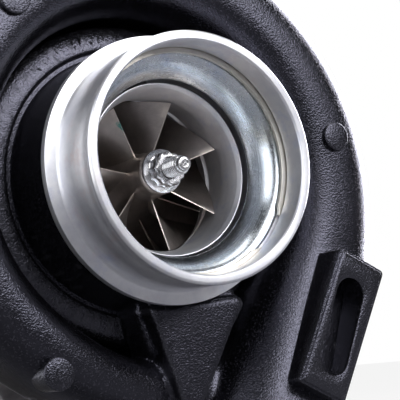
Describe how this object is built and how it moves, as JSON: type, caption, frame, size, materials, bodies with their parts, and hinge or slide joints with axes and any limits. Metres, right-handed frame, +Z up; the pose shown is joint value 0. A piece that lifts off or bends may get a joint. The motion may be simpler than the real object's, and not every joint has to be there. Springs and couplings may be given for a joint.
{
  "type": "turbocharger",
  "caption": "Exhaust-driven supercharger: black scroll cover with a bright ported inlet, bladed rotor on floating bushes, iron bearing housing and divided turbine housing.",
  "frame": {"origin": "centre of the turbine foot's face, on the web between its two ports", "axes": "+Z up, away from the foot; +Y along the shaft from the compressor to the turbine; +X to the right seen from the compressor inlet"},
  "size_m": [0.2302, 0.252, 0.2582],
  "materials": {
    "coated_casting": "black satin coating over a fine cast texture, bright machined inlet",
    "machined_aluminium": "turned",
    "zinc_plate": "polished zinc plate",
    "spring_steel": "satin",
    "wheel_alloy": "satin, warm grey",
    "turned_steel": "turned and ground",
    "bronze": "machined",
    "plated_steel": "zinc plated",
    "stainless_steel": "brushed",
    "cast_iron": "sand cast, machined on its flanges",
    "turbine_alloy": "investment cast",
    "rubber": "matt"
  },
  "bodies": {
    "housing": {"compressor_cover": "coated_casting", "inlet_bell": "zinc_plate", "inlet_snap_ring": "spring_steel", "bearing_circlip_1": "spring_steel", "bearing_circlip_2": "spring_steel", "bearing_circlip_3": "spring_steel", "bearing_circlip_4": "spring_steel", "compressor_seal_ring": "turned_steel", "turbine_seal_ring": "turned_steel", "thrust_bearing": "bronze", "backplate": "machined_aluminium", "backplate_o_ring": "rubber", "oil_inlet_gasket": "rubber", "backplate_bolt_1": "plated_steel", "backplate_bolt_2": "plated_steel", "backplate_bolt_3": "plated_steel", "backplate_bolt_4": "plated_steel", "backplate_bolt_5": "plated_steel", "backplate_bolt_6": "plated_steel", "oil_inlet_fitting": "plated_steel", "oil_inlet_bolt_1": "plated_steel", "oil_inlet_bolt_2": "plated_steel", "cover_clamp_band": "stainless_steel", "cover_clamp_bolt": "stainless_steel", "cover_clamp_nut": "stainless_steel", "turbine_clamp_band": "stainless_steel", "turbine_clamp_bolt": "stainless_steel", "turbine_clamp_nut": "stainless_steel", "heat_shield": "stainless_steel", "bearing_housing": "cast_iron", "turbine_housing": "cast_iron"},
    "rotor": {"compressor_wheel": "wheel_alloy", "shaft_nut": "turned_steel", "rotor_shaft": "turned_steel", "oil_flinger": "turned_steel", "thrust_collar": "turned_steel", "turbine_wheel": "turbine_alloy"},
    "bush_front": {"journal_bush_front": "bronze"},
    "bush_rear": {"journal_bush_rear": "bronze"}
  },
  "joints": [
    {"name": "rotor_spin", "type": "hinge", "parent": "housing", "child": "rotor", "pos_m": [0.042, -0.084, 0.15], "axis": [0, 1, 0], "continuous": true},
    {"name": "bush_front_spin", "type": "hinge", "parent": "housing", "child": "bush_front", "pos_m": [0.042, -0.061, 0.15], "axis": [0, 1, 0], "continuous": true},
    {"name": "bush_rear_spin", "type": "hinge", "parent": "housing", "child": "bush_rear", "pos_m": [0.042, -0.034, 0.15], "axis": [0, 1, 0], "continuous": true}
  ],
  "couplings": [
    {"joint": "bush_front_spin", "follows": "rotor_spin", "ratio": 0.3},
    {"joint": "bush_rear_spin", "follows": "rotor_spin", "ratio": 0.3}
  ]
}
